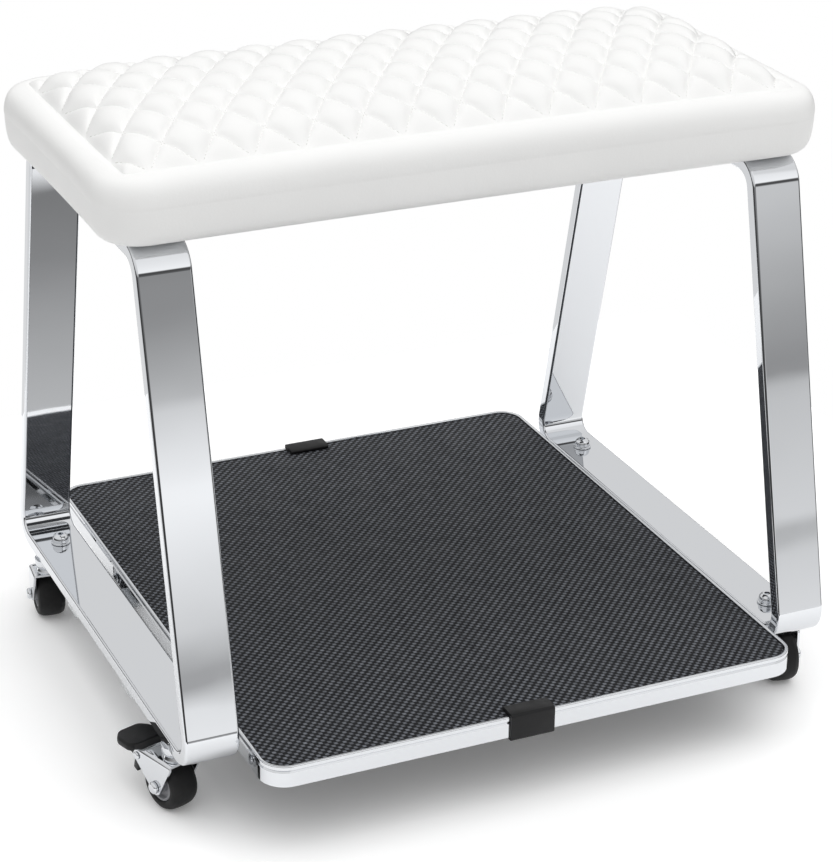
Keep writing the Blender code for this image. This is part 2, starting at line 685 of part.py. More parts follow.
def pedal_solid():
    """Pedal about its pin: a lever between the plates, a brake shoe below it, and a broad tread outside.

    The shoe's face is the tyre's circle swung back about the pin by the pedal's travel.
    """
    reach = math.hypot(PIVOT_OUT, PIVOT_UP)
    aim = 180 + math.degrees(math.atan2(PIVOT_UP, PIVOT_OUT)) + PEDAL_TRAVEL
    swung = (reach * math.cos(math.radians(aim)), reach * math.sin(math.radians(aim)))
    face = arc(swung, WHEEL_RADIUS + GAP, aim - 180, 15, 4)
    shoe_x, shoe_z = face[-1]
    shoe_back = [(shoe_x + SHOE_DEPTH, shoe_z + SHOE_DEPTH / 2), (PIVOT_LUG + SHOE_DEPTH / 2, -PIVOT_LUG)]
    root = PEDAL_LENGTH - 2 * PEDAL_THICK
    tread_top = PEDAL_FOOT + PEDAL_THICK
    lever = face + shoe_back + [(root, PEDAL_FOOT + GAP), (root, tread_top - GAP)]
    lever += arc((0.0, 0.0), PIVOT_LUG, 80, 180, 3)
    start = PIVOT_LUG + 4 * GAP
    wide = PEDAL_WIDTH / 2
    flank = [
        (PEDAL_LENGTH, wide * 0.5), (PEDAL_LENGTH * 0.72, wide), (start + PEDAL_LENGTH * 0.15, wide),
        (start, wide * 0.7),
    ]
    plan = flank + [(x, -y) for x, y in reversed(flank)]
    tread = upright_prism(plan, PEDAL_FOOT, tread_top)
    hole = across(cylinder(PIN_RADIUS + GAP, -FORK_OUTSIDE, FORK_OUTSIDE, 12))
    return shaped(side_prism(lever, FORK_INSIDE - 2 * GAP), ("UNION", tread), ("DIFFERENCE", hole))


bolt_mesh = make_mesh(bolt_solid(), "caster_bolt", CHROME)
mount_mesh = make_mesh(mount_solid(), "caster_mount", CHROME)
kingpin_mesh = make_mesh(kingpin_solid(), "kingpin", STEEL)
braked_fork = make_mesh(fork_solid(True), "braked_fork", CHROME)
plain_fork = make_mesh(fork_solid(False), "plain_fork", CHROME)
axle_mesh = make_mesh(headed_pin(AXLE_RADIUS, AXLE_HEAD_RADIUS, AXLE_HEAD, 12), "axle", STEEL)
hub_mesh = make_mesh(hub_solid(), "hub", GREY_PLASTIC)
tyre_mesh = make_mesh(tyre_solid(), "tyre", TYRE_RUBBER)
pedal_mesh = make_mesh(pedal_solid(), "brake_pedal", BLACK_PLASTIC)
pin_mesh = make_mesh(headed_pin(PIN_RADIUS, PIN_HEAD_RADIUS, PIN_HEAD, 12), "pedal_pin", STEEL)

for corner, (side_x, side_y, heading) in CORNERS.items():
    braked = corner in BRAKED
    foot = (side_x * (BAR_X + CASTER_OUT), side_y * CASTER_Y, 0.0)
    place(f"{corner}_caster_bolt", bolt_mesh, (side_x * BAR_X, side_y * CASTER_Y, 0.0))
    mount = place(f"{corner}_caster_mount", mount_mesh, foot)
    mount.rotation_euler.z = 0.0 if side_x > 0 else math.pi
    place(f"{corner}_kingpin", kingpin_mesh, foot)
    swivel = place(f"{corner}_swivel", None, foot)
    swivel.rotation_euler.z = math.radians(heading)
    place(f"{corner}_fork", braked_fork if braked else plain_fork, (0.0, 0.0, 0.0), swivel)
    wheel_centre = (TRAIL, 0.0, WHEEL_RADIUS)
    place(f"{corner}_axle", axle_mesh, wheel_centre, swivel)
    place(f"{corner}_hub", hub_mesh, wheel_centre, swivel)
    place(f"{corner}_tyre", tyre_mesh, wheel_centre, swivel)
    if braked:
        pivot = (PIVOT_X, 0.0, PIVOT_Z)
        place(f"{corner}_brake_pedal", pedal_mesh, pivot, swivel)
        place(f"{corner}_pedal_pin", pin_mesh, pivot, swivel)
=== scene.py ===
# %% [markdown]
# # A pedicure footrest, dressed
# The solid model gives every piece its size and place. This lesson loads it as a fixed frame and builds
# the visible pieces over it: bent mirror bars, a matted tray, swivel casters and a quilted cushion.

# %% Load the solid model
import json
import math

import bmesh
import bpy
from mathutils import Matrix, Vector


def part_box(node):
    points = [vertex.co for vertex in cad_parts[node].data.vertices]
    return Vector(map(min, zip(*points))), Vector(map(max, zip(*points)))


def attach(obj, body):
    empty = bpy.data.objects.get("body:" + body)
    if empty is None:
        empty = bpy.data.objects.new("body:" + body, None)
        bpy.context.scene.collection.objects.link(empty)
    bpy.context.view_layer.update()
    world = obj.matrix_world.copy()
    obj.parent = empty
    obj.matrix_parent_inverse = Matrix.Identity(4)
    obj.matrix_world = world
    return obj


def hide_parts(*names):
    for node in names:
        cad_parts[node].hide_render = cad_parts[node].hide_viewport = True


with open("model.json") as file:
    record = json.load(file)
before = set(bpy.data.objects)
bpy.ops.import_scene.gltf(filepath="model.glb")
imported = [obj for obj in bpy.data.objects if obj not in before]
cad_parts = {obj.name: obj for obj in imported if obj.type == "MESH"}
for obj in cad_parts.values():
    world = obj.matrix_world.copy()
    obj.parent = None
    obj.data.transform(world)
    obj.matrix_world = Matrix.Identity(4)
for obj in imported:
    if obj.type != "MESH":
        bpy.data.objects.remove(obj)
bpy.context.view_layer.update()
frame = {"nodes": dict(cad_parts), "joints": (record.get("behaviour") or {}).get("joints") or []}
JOINTS = {joint["name"]: joint for joint in frame["joints"]}
CORNERS = ["front_left", "front_right", "back_left", "back_right"]

# %% [markdown]
# ## The camera
# The photograph looks down on the near left corner through a long lens. Its angles, distance and focal
# length came from fitting the frame's corners to the picture, so the camera is set by those numbers and
# not by eye.

# %% Camera
VIEW_AZIMUTH = math.radians(-24.3273)
VIEW_ELEVATION = math.radians(23.6488)
VIEW_ROLL = math.radians(0.6340)
VIEW_DISTANCE = 2.27351
VIEW_TARGET = Vector((0.00745, 0.0, 0.24966))
PHOTO_WIDTH = 833
FOCAL_PIXELS = 2625.87
SENSOR = 36.0
LENS_SHIFT = -0.05

level = math.cos(VIEW_ELEVATION)
back = Vector((
    math.sin(VIEW_AZIMUTH) * level, -math.cos(VIEW_AZIMUTH) * level, math.sin(VIEW_ELEVATION),
))
right = Vector((math.cos(VIEW_AZIMUTH), math.sin(VIEW_AZIMUTH), 0.0))
up = back.cross(right)
roll_cos, roll_sin = math.cos(VIEW_ROLL), math.sin(VIEW_ROLL)
axes = [roll_cos * right + roll_sin * up, roll_cos * up - roll_sin * right, back]

lens = bpy.data.cameras.new("photo_camera")
lens.sensor_fit = "HORIZONTAL"
lens.sensor_width = SENSOR
lens.lens = FOCAL_PIXELS * SENSOR / PHOTO_WIDTH
lens.shift_y = LENS_SHIFT
camera = bpy.data.objects.new("photo_camera", lens)
bpy.context.scene.collection.objects.link(camera)
camera.matrix_world = (
    Matrix.Translation(VIEW_TARGET + back * VIEW_DISTANCE) @ Matrix(axes).transposed().to_4x4()
)
bpy.context.scene.camera = camera
print("camera at", [round(value, 3) for value in camera.matrix_world.translation])
print("lens of", round(lens.lens, 1), "mm")

# %% [markdown]
# ## Finishes
# Colours are written as they look on screen and turned to the linear values that light adds up in. Each
# finish starts from one shader, and every pattern's scale comes from a size in millimetres on the real
# surface.

# %% Helpers for finishes
def linear(colour):
    """An sRGB hex colour as linear red, green, blue and alpha."""
    shares = [int(colour[start:start + 2], 16) / 255 for start in (1, 3, 5)]
    return [s / 12.92 if s <= 0.04045 else ((s + 0.055) / 1.055) ** 2.4 for s in shares] + [1.0]


def repeats(millimetres):
    """The texture scale at which a pattern's features are this far apart, in metres of object space."""
    return 1000.0 / millimetres


def put(tree, kind, inputs=None, **settings):
    """Add a node, set its properties, and give each input a value or a link."""
    made = tree.nodes.new(kind)
    for name, value in settings.items():
        setattr(made, name, value)
    for key, value in (inputs or {}).items():
        if isinstance(value, bpy.types.NodeSocket):
            tree.links.new(value, made.inputs[key])
        else:
            made.inputs[key].default_value = value
    return made


def start_finish(name, colour, roughness, metallic=0.0):
    """A new material, its tree, its shader and its object coordinates."""
    material = bpy.data.materials.new(name)
    material.use_nodes = True
    tree = material.node_tree
    shader = tree.nodes["Principled BSDF"]
    shader.inputs["Base Color"].default_value = linear(colour)
    shader.inputs["Roughness"].default_value = roughness
    shader.inputs["Metallic"].default_value = metallic
    spot = put(tree, "ShaderNodeTexCoord").outputs["Object"]
    return material, tree, shader, spot


def vary(tree, spot, socket, millimetres, low, high):
    """Let a shader value drift between low and high in soft patches of this size."""
    patch = put(tree, "ShaderNodeTexNoise", {"Vector": spot, "Scale": repeats(millimetres), "Detail": 3.0})
    drift = put(tree, "ShaderNodeMapRange", {
        "Value": patch.outputs["Fac"], "From Min": 0.3, "From Max": 0.7, "To Min": low, "To Max": high,
    })
    tree.links.new(drift.outputs["Result"], socket)


def tint(tree, amount, first, second, socket):
    """Blend two colours by an amount and feed a colour socket."""
    blend = put(tree, "ShaderNodeMix", {"Factor": amount, "A": linear(first), "B": linear(second)},
                data_type="RGBA")
    tree.links.new(blend.outputs["Result"], socket)


# %% [markdown]
# ### White leatherette
# The seat is covered in PU-coated cloth, rolled with a fine pebble. It shows a soft sheen, small grain
# and a slight drift in gloss where the skin is stretched. Pebbles of half a millimetre would vanish at
# this distance, so they are drawn 1.5 mm apart.

# %% White leatherette
leatherette, tree, shader, spot = start_finish("white_pu_leatherette", "#EFEFEE", 0.42)
PEBBLE = 1.5
pebbles = put(tree, "ShaderNodeTexVoronoi", {"Vector": spot, "Scale": repeats(PEBBLE)}, feature="SMOOTH_F1")
grain = put(tree, "ShaderNodeBump", {
    "Height": pebbles.outputs["Distance"], "Strength": 0.15, "Distance": 0.0003,
})
folds = put(tree, "ShaderNodeTexNoise", {"Vector": spot, "Scale": repeats(9.0), "Detail": 4.0})
skin = put(tree, "ShaderNodeBump", {
    "Height": folds.outputs["Fac"], "Strength": 0.10, "Distance": 0.0008, "Normal": grain.outputs["Normal"],
})
tree.links.new(skin.outputs["Normal"], shader.inputs["Normal"])
patches = put(tree, "ShaderNodeTexNoise", {"Vector": spot, "Scale": repeats(60.0), "Detail": 2.0})
tint(tree, patches.outputs["Fac"], "#F3F3F2", "#EEEEED", shader.inputs["Base Color"])
vary(tree, spot, shader.inputs["Roughness"], 25.0, 0.36, 0.50)

# The thread's grey, darker than the leatherette, is painted shade for the creases it lies in; its drift with
# the twist is the ply's own
crease_shaded_thread, tree, shader, spot = start_finish("polyester_thread_painted_crease_grey", "#E9E9E6", 0.6)
PLY = 0.9
twist = put(tree, "ShaderNodeTexNoise", {"Vector": spot, "Scale": repeats(PLY)})
lay = put(tree, "ShaderNodeBump", {"Height": twist.outputs["Fac"], "Strength": 0.4, "Distance": 0.0002})
tree.links.new(lay.outputs["Normal"], shader.inputs["Normal"])
tint(tree, twist.outputs["Fac"], "#DEDEDA", "#C6C6C2", shader.inputs["Base Color"])
print("seat finishes", leatherette.name, crease_shaded_thread.name)

# %% [markdown]
# ### Chrome and zinc
# The bars are flat steel, polished and chromium plated. Chrome is a mirror with a slightly cool cast, and
# hand polishing leaves it a little wavy, which bends the edges of what it reflects. The hidden hardware
# is zinc plated, which is duller and mottled.

# %% Chrome and zinc
chrome, tree, shader, spot = start_finish("polished_chrome_plate", "#D8DADD", 0.05, 1.0)
ripple = put(tree, "ShaderNodeTexNoise", {"Vector": spot, "Scale": repeats(70.0), "Detail": 1.0})
wave = put(tree, "ShaderNodeBump", {"Height": ripple.outputs["Fac"], "Strength": 0.05, "Distance": 0.0015})
tree.links.new(wave.outputs["Normal"], shader.inputs["Normal"])
vary(tree, spot, shader.inputs["Roughness"], 40.0, 0.01, 0.035)

zinc, tree, shader, spot = start_finish("bright_zinc_plate", "#C3C5C6", 0.3, 1.0)
spangle = put(tree, "ShaderNodeTexVoronoi", {"Vector": spot, "Scale": repeats(2.5)})
tint(tree, spangle.outputs["Distance"], "#CFD1D2", "#AEB1B3", shader.inputs["Base Color"])
vary(tree, spot, shader.inputs["Roughness"], 6.0, 0.22, 0.38)
print("metal finishes", chrome.name, zinc.name)

# %% [markdown]
# ### Mat rubber
# The mat is charcoal rubber embossed like a coarse weave: short slanted ridges, painted lighter on top
# as a highlight, with the gaps between them painted black as shade. Two cosine waves multiplied give a
# lattice of bumps that touch at their corners, and leaning the waves slants them, so one pattern serves for
# the height and for the painted light and shade, and a noise makes the painted highlight patchy.

# %% Mat rubber
mat_rubber, tree, shader, spot = start_finish("embossed_mat_rubber", "#303236", 0.75)
shader.inputs["Specular IOR Level"].default_value = 0.3
RIDGE_PITCH = 7.0
SLANT = 0.12
apart = put(tree, "ShaderNodeSeparateXYZ", {"Vector": spot})
waves = []
for main, other in (("X", "Y"), ("Y", "X")):
    lean = put(tree, "ShaderNodeMath", {0: apart.outputs[other], 1: SLANT, 2: apart.outputs[main]},
               operation="MULTIPLY_ADD")
    angle = put(tree, "ShaderNodeMath", {0: lean.outputs[0], 1: math.tau * repeats(RIDGE_PITCH)},
                operation="MULTIPLY")
    waves.append(put(tree, "ShaderNodeMath", {0: angle.outputs[0]}, operation="COSINE").outputs[0])
lattice = put(tree, "ShaderNodeMath", {0: waves[0], 1: waves[1]}, operation="MULTIPLY")
ridges = put(tree, "ShaderNodeMapRange", {
    "Value": lattice.outputs[0], "From Min": -0.15, "From Max": 0.55, "To Min": 0.0, "To Max": 1.0,
}, interpolation_type="SMOOTHSTEP")
# Painted light and shade: ridge tops painted light as a highlight, gaps painted black as shade, the highlight
# made patchy by a noise
highlight_patches = put(tree, "ShaderNodeTexNoise", {"Vector": spot, "Scale": repeats(5.0), "Detail": 6.0})
ridge_light_gap_shade = put(tree, "ShaderNodeMath", {0: ridges.outputs["Result"], 1: highlight_patches.outputs["Fac"]},
           operation="MULTIPLY")
tint(tree, ridge_light_gap_shade.outputs[0], "#17181B", "#8B8F97", shader.inputs["Base Color"])
emboss = put(tree, "ShaderNodeBump", {"Height": ridges.outputs["Result"], "Strength": 0.8, "Distance": 0.001})
tree.links.new(emboss.outputs["Normal"], shader.inputs["Normal"])
vary(tree, spot, shader.inputs["Roughness"], 18.0, 0.68, 0.84)
print("mat ridges every", RIDGE_PITCH, "mm")

# %% [markdown]
# ### Moulded plastics, tyre rubber and boards
# The clips and pedals are black ABS from a spark-eroded mould, which leaves a fine even grain. The hubs
# are grey nylon and the tyres a soft black rubber with dust in its pores. The boards under the seat and
# the mat are plywood faced with a dark film that is pressed on through a wire mesh, which leaves it
# pitted. The grain and the pores are finer than a pixel here, so they are drawn about a millimetre
# across.

# %% Moulded plastics, tyre rubber and boards
black_plastic, tree, shader, spot = start_finish("spark_grained_black_abs", "#101012", 0.42)
shader.inputs["Specular IOR Level"].default_value = 0.3
erosion = put(tree, "ShaderNodeTexNoise", {"Vector": spot, "Scale": repeats(1.0), "Detail": 5.0})
texture = put(tree, "ShaderNodeBump", {
    "Height": erosion.outputs["Fac"], "Strength": 0.25, "Distance": 0.0002,
})
tree.links.new(texture.outputs["Normal"], shader.inputs["Normal"])
tint(tree, erosion.outputs["Fac"], "#0B0B0C", "#161618", shader.inputs["Base Color"])
vary(tree, spot, shader.inputs["Roughness"], 12.0, 0.38, 0.52)

grey_nylon, tree, shader, spot = start_finish("moulded_grey_nylon", "#8B8C8F", 0.45)
flow = put(tree, "ShaderNodeTexNoise", {"Vector": spot, "Scale": repeats(4.0), "Detail": 3.0})
tint(tree, flow.outputs["Fac"], "#85868A", "#939498", shader.inputs["Base Color"])
vary(tree, spot, shader.inputs["Roughness"], 8.0, 0.40, 0.55)

tyre_rubber, tree, shader, spot = start_finish("black_tyre_rubber", "#0F0F10", 0.55)
shader.inputs["Specular IOR Level"].default_value = 0.3
pores = put(tree, "ShaderNodeTexNoise", {"Vector": spot, "Scale": repeats(1.2), "Detail": 6.0})
matte = put(tree, "ShaderNodeBump", {"Height": pores.outputs["Fac"], "Strength": 0.2, "Distance": 0.0002})
tree.links.new(matte.outputs["Normal"], shader.inputs["Normal"])
tint(tree, pores.outputs["Fac"], "#0A0A0B", "#171718", shader.inputs["Base Color"])
vary(tree, spot, shader.inputs["Roughness"], 10.0, 0.48, 0.66)

film_faced, tree, shader, spot = start_finish("grey_film_faced_plywood", "#3C3D3F", 0.5)
mesh_print = put(tree, "ShaderNodeTexVoronoi", {"Vector": spot, "Scale": repeats(2.0)})
tint(tree, mesh_print.outputs["Distance"], "#38393B", "#444548", shader.inputs["Base Color"])
vary(tree, spot, shader.inputs["Roughness"], 20.0, 0.42, 0.58)
print("other finishes", black_plastic.name, grey_nylon.name, tyre_rubber.name, film_faced.name)

# %% [markdown]
# ## Making a piece
# Every piece starts as a bmesh, gets its shape from a few operators, and is then settled: doubles merged,
# faces turned outwards, its finish and shading set, and the body named that it moves with.

# %% Helpers for pieces
# Points within DOUBLES of each other are merged, and those within NEAR of a line count as on it
DOUBLES = 0.000005
NEAR = 0.0001
SHARP_ANGLE = math.radians(40)


def settle(name, bm, finish, body, slot, *nodes):
    """Turn a bmesh into a piece that rides on a body and stands for solid nodes."""
    bmesh.ops.remove_doubles(bm, verts=bm.verts, dist=DOUBLES)
    bmesh.ops.recalc_face_normals(bm, faces=bm.faces)
    mesh = bpy.data.meshes.new(name)
    bm.to_mesh(mesh)
    bm.free()
    mesh.shade_smooth()
    mesh.set_sharp_from_angle(angle=SHARP_ANGLE)
    mesh.materials.append(finish)
    piece = bpy.data.objects.new(name, mesh)
    bpy.context.scene.collection.objects.link(piece)
    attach(piece, body)
    if nodes:
        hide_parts(*nodes)
    print(name, len(mesh.polygons), "faces")
    return piece


def even_shading(piece):
    """Keep flat faces flat in a mirror, by weighting each corner's normal towards the larger face."""
    piece.modifiers.new("even shading", "WEIGHTED_NORMAL").keep_sharp = True


def flat_face(points):
    """One face through points in space."""
    bm = bmesh.new()
    bm.faces.new([bm.verts.new(point) for point in points])
    bm.normal_update()
    return bm


def round_corners(bm, verts, reach, segments=16):
    """Round corners of a flat face, starting this far along each side."""
    bmesh.ops.bevel(
        bm, geom=verts, offset=reach, segments=segments, profile=0.5, affect="VERTICES", material=-1,
    )
    bm.normal_update()


def draw_out(bm, vector):
    """Extrude the flat faces in bm along the vector into a closed solid."""
    grown = bmesh.ops.extrude_face_region(bm, geom=bm.faces[:])
    far = [item for item in grown["geom"] if isinstance(item, bmesh.types.BMVert)]
    bmesh.ops.translate(bm, verts=far, vec=vector)
    bmesh.ops.recalc_face_normals(bm, faces=bm.faces)


def hollow(bm, wall):
    """Leave only a margin of the wall's thickness round the one face in bm."""
    middle = bm.faces[:]
    bmesh.ops.inset_region(bm, faces=middle, thickness=wall, use_even_offset=True, use_boundary=True)
    bmesh.ops.delete(bm, geom=middle, context="FACES_ONLY")


def soften(bm, width, segments=3, angle=60, keep=None):
    """Bevel the edges sharper than an angle, or those of them that keep chooses."""
    edges = [edge for edge in bm.edges if len(edge.link_faces) == 2]
    edges = [edge for edge in edges if edge.calc_face_angle() > math.radians(angle)]
    if keep:
        edges = [edge for edge in edges if keep(edge)]
    bmesh.ops.bevel(
        bm, geom=edges, offset=width, segments=segments, profile=0.5, affect="EDGES", material=-1,
        clamp_overlap=True,
    )


# %% [markdown]
# ## Side frames
# Each side frame is one flat bar, 45 by 12 mm, bent into a closed trapezoid with 26 mm bends. Its side
# view is four points: bevelling those corners makes the bends, insetting the face leaves the bar's
# thickness, and drawing that out sideways gives its width. In the photograph the back left leg mirrors
# the mat and a grey card, as if its inner face leaned further than it does, so the shading normals of
# that face are tilted and its shape is left alone.

# %% Side frames
BAR_THICK = 0.012
BEND_RADIUS = 0.026
EDGE_ROUND = 0.0022
FOOT_HALF = 0.2355
HEAD_HALF = 0.1410
FRAME_HEIGHT = 0.408
LEAN = math.atan2(FOOT_HALF - HEAD_HALF, FRAME_HEIGHT)
LEG_FACE_AREA = 0.005
TILT_FOOT, TILT_HEAD = math.radians(18.0), math.radians(19.45)


def bent_bar(low, high):
    """The bent bar that fills a side frame's box."""
    corners = [(-FOOT_HALF, low.z), (FOOT_HALF, low.z), (HEAD_HALF, high.z), (-HEAD_HALF, high.z)]
    bm = flat_face([(low.x, y, z) for y, z in corners])
    foot = [vert for vert in bm.verts if vert.co.z < (low.z + high.z) / 2]
    head = [vert for vert in bm.verts if vert not in foot]
    round_corners(bm, foot, BEND_RADIUS * math.tan(math.pi / 4 + LEAN / 2))
    round_corners(bm, head, BEND_RADIUS * math.tan(math.pi / 4 - LEAN / 2))
    hollow(bm, BAR_THICK)
    draw_out(bm, (high.x - low.x, 0.0, 0.0))
    soften(bm, EDGE_ROUND, segments=4)
    return bm


def tilt_back_leg(bar):
    """Tilt the shading normals on the inner face of the back leg, more at its head than at its foot."""
    shaded = bar.evaluated_get(bpy.context.evaluated_depsgraph_get()).to_mesh()
    normals = [corner.vector.copy() for corner in shaded.corner_normals]
    for face in shaded.polygons:
        if face.area > LEG_FACE_AREA and face.center.y > 0.0 and face.normal.y < -0.9:
            for corner in face.loop_indices:
                height = shaded.vertices[shaded.loops[corner].vertex_index].co.z
                tilt = TILT_HEAD if height > face.center.z else TILT_FOOT
                normals[corner].rotate(Matrix.Rotation(-tilt, 3, "X"))
            print("tilted the shading of a face of", round(1e4 * face.area), "square cm")
    bar.modifiers.clear()
    bar.data.normals_split_custom_set(normals)


for side in ("left", "right"):
    bar = settle(f"{side}_bent_bar", bent_bar(*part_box(f"{side}_side_frame")), chrome, "base", "chrome",
                 f"{side}_side_frame")
    even_shading(bar)
    if side == "left":
        tilt_back_leg(bar)

# %% [markdown]
# ## Tray rim
# The rim is a metal strip on edge round the tray, with a rolled lip and a fine groove under it that
# catches the light as a dark line. A rounded rectangle is inset by the strip's thickness and drawn up,
# its lip is bevelled, and three cuts give the groove a loop to pull inwards.

# %% Tray rim
RIM_THICK = 0.003
TRAY_CORNER = 0.022
GROOVE_BELOW_LIP = 0.0048
GROOVE_DEPTH = 0.0013
LIP_ROUND = 0.0012


def tray_face(low, high, inset):
    """A flat rectangle the size of a box, at its foot, with the tray's corner radius less an inset."""
    bm = flat_face([
        (low.x, low.y, low.z), (high.x, low.y, low.z), (high.x, high.y, low.z), (low.x, high.y, low.z),
    ])
    round_corners(bm, bm.verts[:], TRAY_CORNER - inset)
    return bm


low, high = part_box("tray_rim")
rim = tray_face(low, high, 0.0)
hollow(rim, RIM_THICK)
draw_out(rim, (0.0, 0.0, high.z - low.z))
soften(rim, LIP_ROUND, keep=lambda edge: min(vert.co.z for vert in edge.verts) > high.z - NEAR)
groove = high.z - GROOVE_BELOW_LIP
for rise in (-GROOVE_DEPTH, 0.0, GROOVE_DEPTH):
    bmesh.ops.bisect_plane(
        rim, geom=rim.verts[:] + rim.edges[:] + rim.faces[:], plane_co=(0, 0, groove + rise),
        plane_no=(0, 0, 1),
    )
rim.normal_update()
for vert in rim.verts:
    facing_out = vert.normal.x * vert.co.x + vert.normal.y * vert.co.y > 0.0
    if facing_out and abs(vert.co.z - groove) < GROOVE_DEPTH / 4:
        vert.co -= vert.normal * GROOVE_DEPTH
even_shading(settle("tray_rim_strip", rim, chrome, "base", "chrome", "tray_rim"))

# %% [markdown]
# ## Mat and clips
# The mat is a moulded sheet that fills the rim, with a small radius round its top. A black clip hooks
# over the rim at the front and at the back to hold it down. The clip's section is drawn once in its
# length direction, with its corners rounded, and drawn out to its width.

# %% Mat and clips
# Clearance that touching pieces keep
GAP = 0.0003

MAT_ROUND = 0.0010
CLIP_THICK = 0.0026
CLIP_HOOK = 0.005
CLIP_ROUND = 0.0024
CLIP_EDGE = 0.0005
RIM_ROOM = 0.0036

low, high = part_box("tray_mat")
mat = tray_face(low, high, RIM_THICK)
draw_out(mat, (0.0, 0.0, high.z - low.z))
soften(mat, MAT_ROUND)
settle("tray_rubber_mat", mat, mat_rubber, "base", "mat_rubber", "tray_mat")


def clip_solid(low, high, inwards):
    """A clip in its box, hooked over the rim. Inwards is the way along Y to the middle of the tray."""
    outer = low.y if inwards > 0 else high.y
    reach = high.y - low.y
    inner = CLIP_THICK + RIM_ROOM
    hook = inner + CLIP_HOOK
    mat_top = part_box("tray_mat")[1].z + GAP
    section = [
        (0.0, low.z), (hook, low.z), (hook, low.z + CLIP_THICK), (CLIP_THICK, low.z + CLIP_THICK),
        (CLIP_THICK, high.z - CLIP_THICK), (inner, high.z - CLIP_THICK), (inner, mat_top), (reach, mat_top),
        (reach, high.z - CLIP_THICK / 2), (reach - CLIP_THICK, high.z), (0.0, high.z),
    ]
    bm = flat_face([(low.x, outer + inwards * y, z) for y, z in section])
    lip = [vert for vert in bm.verts if abs(vert.co.y - outer) < NEAR]
    round_corners(bm, lip, CLIP_ROUND, segments=8)
    draw_out(bm, (high.x - low.x, 0.0, 0.0))
    soften(bm, CLIP_EDGE, segments=2, angle=40)
    return bm


for end, inwards in (("front", 1), ("back", -1)):
    node = f"{end}_mat_clip"
    clip = clip_solid(*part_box(node), inwards)
    settle(f"{end}_hook_clip", clip, black_plastic, "base", "black_plastic", node)

# %% [markdown]
# ## Turned parts of the casters
# Wheels, hubs, axles and bolts are all turned or moulded round, so each is half a section spun about an
# axis. The joints of the solid model say where each caster stands and which way it points. The section's
# corners are rounded before the spin, because a wire corner is quicker to round than a ring of edges.

# %% Turned parts of the casters
def spun(section, steps, closed=False, round_off=0.0):
    """Spin a section of (radius, height) points about Z, with its corners rounded."""
    bm = bmesh.new()
    points = [bm.verts.new((radius, 0.0, height)) for radius, height in section]
    for first, second in zip(points, points[1:]):
        bm.edges.new((first, second))
    if closed:
        bm.edges.new((points[-1], points[0]))
    if round_off:
        corners = points if closed else points[1:-1]
        bmesh.ops.bevel(
            bm, geom=corners, offset=round_off, segments=4, profile=0.5, affect="VERTICES", material=-1,
            clamp_overlap=True,
        )
    bmesh.ops.spin(
        bm, geom=bm.verts[:] + bm.edges[:], cent=(0, 0, 0), axis=(0, 0, 1), angle=math.tau, steps=steps,
        use_merge=True,
    )
    return bm


def mirrored(half):
    """A section given for one side of the middle, with its other side added."""
    return half + [(radius, -height) for radius, height in reversed(half)]


def caster_places(corner):
    """The places of a wheel, and of a pedal and its pin, each as a matrix."""
    wheel = JOINTS[f"{corner}_wheel_spin"]
    axle = Vector(wheel["axis"])
    turn = Matrix.Rotation(math.atan2(-axle.x, axle.y), 4, "Z")
    lie = turn @ Matrix.Rotation(-math.pi / 2, 4, "X")
    places = {"wheel": Matrix.Translation(wheel["pos_m"]) @ lie}
    if f"{corner}_pedal_press" in JOINTS:
        pivot = Matrix.Translation(JOINTS[f"{corner}_pedal_press"]["pos_m"])
        places["pedal"] = pivot @ turn
        places["pin"] = pivot @ lie
    return places


def put_at(bm, place):
    """bm moved by a matrix."""
    bmesh.ops.transform(bm, matrix=place, verts=bm.verts)
    return bm


# Half sections as (radius, height from the middle)
TYRE_HALF = [
    (0.0138, 0.0112), (0.0146, 0.0124), (0.0172, 0.0125), (0.0203, 0.0112),
    (0.0220, 0.0080), (0.0225, 0.0036),
]
HUB_HALF = [
    (0.0033, 0.0137), (0.0060, 0.0137), (0.0064, 0.0084), (0.0108, 0.0082),
    (0.0115, 0.0115), (0.0135, 0.0115),
]
AXLE_HALF = [(0.0, 0.0201), (0.0036, 0.0200), (0.0052, 0.0186), (0.0052, 0.0165), (0.0030, 0.0165)]
PIN_HALF = [(0.0, 0.0181), (0.0023, 0.0180), (0.0034, 0.0173), (0.0034, 0.0165), (0.0020, 0.0165)]
for corner in CORNERS:
    places = caster_places(corner)
    wheel, swivel = f"{corner}_wheel", f"{corner}_swivel"
    tyre = put_at(spun(mirrored(TYRE_HALF), 64, closed=True, round_off=0.0008), places["wheel"])
    settle(f"{corner}_rubber_tyre", tyre, tyre_rubber, wheel, "tyre_rubber", f"{corner}_tyre")
    hub = put_at(spun(mirrored(HUB_HALF), 48, closed=True, round_off=0.0004), places["wheel"])
    settle(f"{corner}_nylon_hub", hub, grey_nylon, wheel, "grey_plastic", f"{corner}_hub")
    axle = put_at(spun(mirrored(AXLE_HALF), 32, round_off=0.0004), places["wheel"])
    settle(f"{corner}_axle_rivet", axle, chrome, swivel, "plated_steel", f"{corner}_axle")
    if "pin" in places:
        pin = put_at(spun(mirrored(PIN_HALF), 32, round_off=0.0003), places["pin"])
        settle(f"{corner}_pedal_rivet", pin, chrome, swivel, "plated_steel", f"{corner}_pedal_pin")

# %% [markdown]
# ## Caster bolts
# A domed bolt with a flange and a hexagon socket holds each caster to its bar. The dome is spun with an
# open top, a hexagon with as many points is bridged to it, and the hexagon's edge is pushed down for the
# socket.

# %% Caster bolts
SOCKET_RADIUS = 0.0029
SOCKET_DEPTH = 0.0034
SHANK_RADIUS = 0.0040
FLANGE_RADIUS, FLANGE_THICK = 0.0085, 0.0014
# The dome as (radius, height over the flange), up to its open top
DOME = [(0.0073, 0.0), (0.0073, 0.0030), (0.0068, 0.0048), (0.0056, 0.0063)]
DOME_TOP_RADIUS = 0.0040


